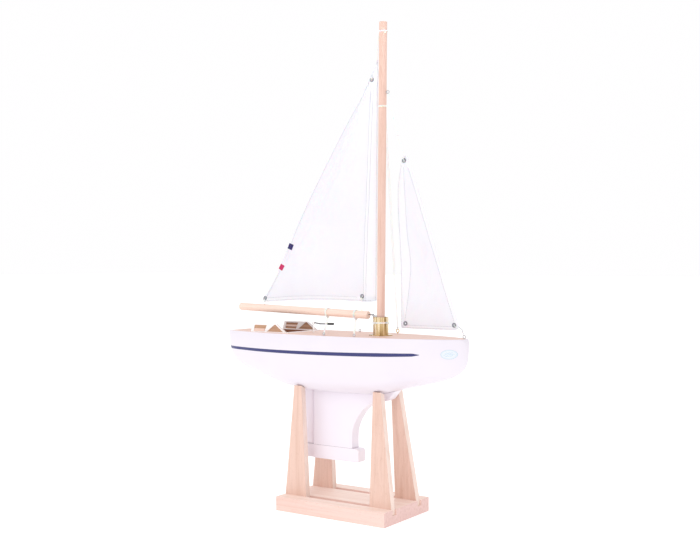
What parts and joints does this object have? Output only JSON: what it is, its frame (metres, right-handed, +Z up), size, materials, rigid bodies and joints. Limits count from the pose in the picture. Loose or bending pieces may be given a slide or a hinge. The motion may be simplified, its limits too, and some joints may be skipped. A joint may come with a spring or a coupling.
{
  "type": "rc sailboat",
  "caption": "Model sailing yacht with a white canoe hull, plank-coloured deck, deep keel, wooden mast and swinging boom with white sails, held on a slotted wooden display stand.",
  "frame": {"origin": "centre of the underside of the stand's base board", "axes": "+X towards the bow, +Y to port, +Z up"},
  "size_m": [0.5, 0.15, 0.868],
  "materials": {
    "stand_wood": "natural pale hardwood, fine grain, satin",
    "hull_paint": "wooden hull in smooth white gloss paint with a dark blue waterline stripe",
    "deck_wood": "pale pinkish hardwood veneer, grain fore and aft, satin varnish",
    "beam_wood": "unfinished softwood",
    "fin_paint": "white gloss paint over wood",
    "ballast_paint": "white gloss paint over a cast weight",
    "bolt_steel": "zinc plated steel",
    "brass": "turned brass, lightly polished",
    "dark_wire": "dark steel wire",
    "grip_black": "black plastic sleeve",
    "spar_wood": "pale reddish hardwood dowel, satin varnish",
    "bush_wood": "turned hardwood",
    "cord": "thin white waxed cord",
    "eye_steel": "plated steel screw eye",
    "mahogany": "reddish brown stained veneer, satin",
    "trim_paint": "white paint over thin wooden trim",
    "ledge_wood": "natural pale strip",
    "tray_ply": "thin plywood",
    "servo_case": "black moulded case",
    "servo_horn_plastic": "white moulded nylon",
    "receiver_case": "dark grey moulded case",
    "battery_sleeve": "blue shrink sleeve",
    "sail_cloth": "white woven sailcloth with stitched hems",
    "eyelet_metal": "dark plated eyelet",
    "tag_fabric": "woven ribbon, dark blue with a pale and a red band"
  },
  "bodies": {
    "stand": {"stand_base": "stand_wood", "leg_fwd_starboard": "stand_wood", "leg_fwd_port": "stand_wood", "leg_aft_starboard": "stand_wood", "leg_aft_port": "stand_wood"},
    "boat": {"hull_shell": "hull_paint", "deck": "deck_wood", "deck_beams": "beam_wood", "mast_step_block": "beam_wood", "tray_bearers": "beam_wood", "keel_fin": "fin_paint", "rudder_shoe": "fin_paint", "keel_ballast": "ballast_paint", "keel_bolts": "bolt_steel", "gear_screws": "bolt_steel", "rudder_tube": "brass", "mast_socket": "brass", "mast": "spar_wood", "mast_bush": "bush_wood", "socket_cord": "cord", "mast_wraps": "cord", "mast_stays": "cord", "sheet_cords": "cord", "mast_eye": "eye_steel", "gooseneck_eye": "eye_steel", "bow_eye": "eye_steel", "deck_eyes": "eye_steel", "deck_ring": "eye_steel", "cockpit_tub": "mahogany", "coaming_port": "mahogany", "coaming_starboard": "mahogany", "coaming_trim_port": "trim_paint", "coaming_trim_starboard": "trim_paint", "cockpit_sill": "trim_paint", "cockpit_ledges": "ledge_wood", "gear_tray": "tray_ply", "rudder_servo": "servo_case", "sail_servo": "servo_case", "receiver": "receiver_case", "battery_pack": "battery_sleeve"},
    "rudder": {"rudder_blade": "fin_paint", "rudder_stock": "bolt_steel", "rudder_arm": "brass", "tiller": "dark_wire", "tiller_grip": "grip_black"},
    "servo_horn": {"rudder_servo_horn": "servo_horn_plastic"},
    "pushrod": {"rudder_pushrod": "bolt_steel"},
    "sail_arm": {"sail_servo_arm": "servo_horn_plastic"},
    "boom_and_mainsail": {"boom": "spar_wood", "boom_hook": "dark_wire", "boom_wraps": "cord", "mainsail": "sail_cloth", "mainsail_eyelets": "eyelet_metal", "mainsail_ties": "cord", "leech_tag": "tag_fabric"},
    "jib_sail": {"jib": "sail_cloth", "jib_eyelets": "eyelet_metal", "jib_head_line": "cord", "jib_tack_hook": "dark_wire"}
  },
  "joints": [
    {"name": "boat_lift", "type": "slide", "parent": "stand", "child": "boat", "axis": [0, 0, 1], "range_m": [0, 0.15]},
    {"name": "rudder_turn", "type": "hinge", "parent": "boat", "child": "rudder", "pos_m": [-0.086, 0, 0.2], "axis": [0, 0, 1], "range_deg": [-35, 35]},
    {"name": "servo_horn_turn", "type": "hinge", "parent": "boat", "child": "servo_horn", "pos_m": [-0.01, 0, 0.288], "axis": [0, 0, 1], "range_deg": [-35, 35]},
    {"name": "pushrod_link", "type": "hinge", "parent": "servo_horn", "child": "pushrod", "pos_m": [-0.01, 0.014, 0.29], "axis": [0, 0, 1], "range_deg": [-35, 35]},
    {"name": "sail_arm_turn", "type": "hinge", "parent": "boat", "child": "sail_arm", "pos_m": [0.014, -0.027, 0.288], "axis": [0, 0, 1], "range_deg": [-60, 60]},
    {"name": "boom_swing", "type": "hinge", "parent": "boat", "child": "boom_and_mainsail", "pos_m": [0.0455, 0, 0.352], "axis": [0, 0, 1], "range_deg": [-60, 60]},
    {"name": "jib_swing", "type": "hinge", "parent": "boat", "child": "jib_sail", "pos_m": [0.226, 0, 0.3215], "axis": [-0.3361, 0, 0.9418], "range_deg": [-25, 25]}
  ],
  "couplings": [
    {"joint": "servo_horn_turn", "follows": "rudder_turn", "ratio": 1},
    {"joint": "pushrod_link", "follows": "rudder_turn", "ratio": -1}
  ]
}
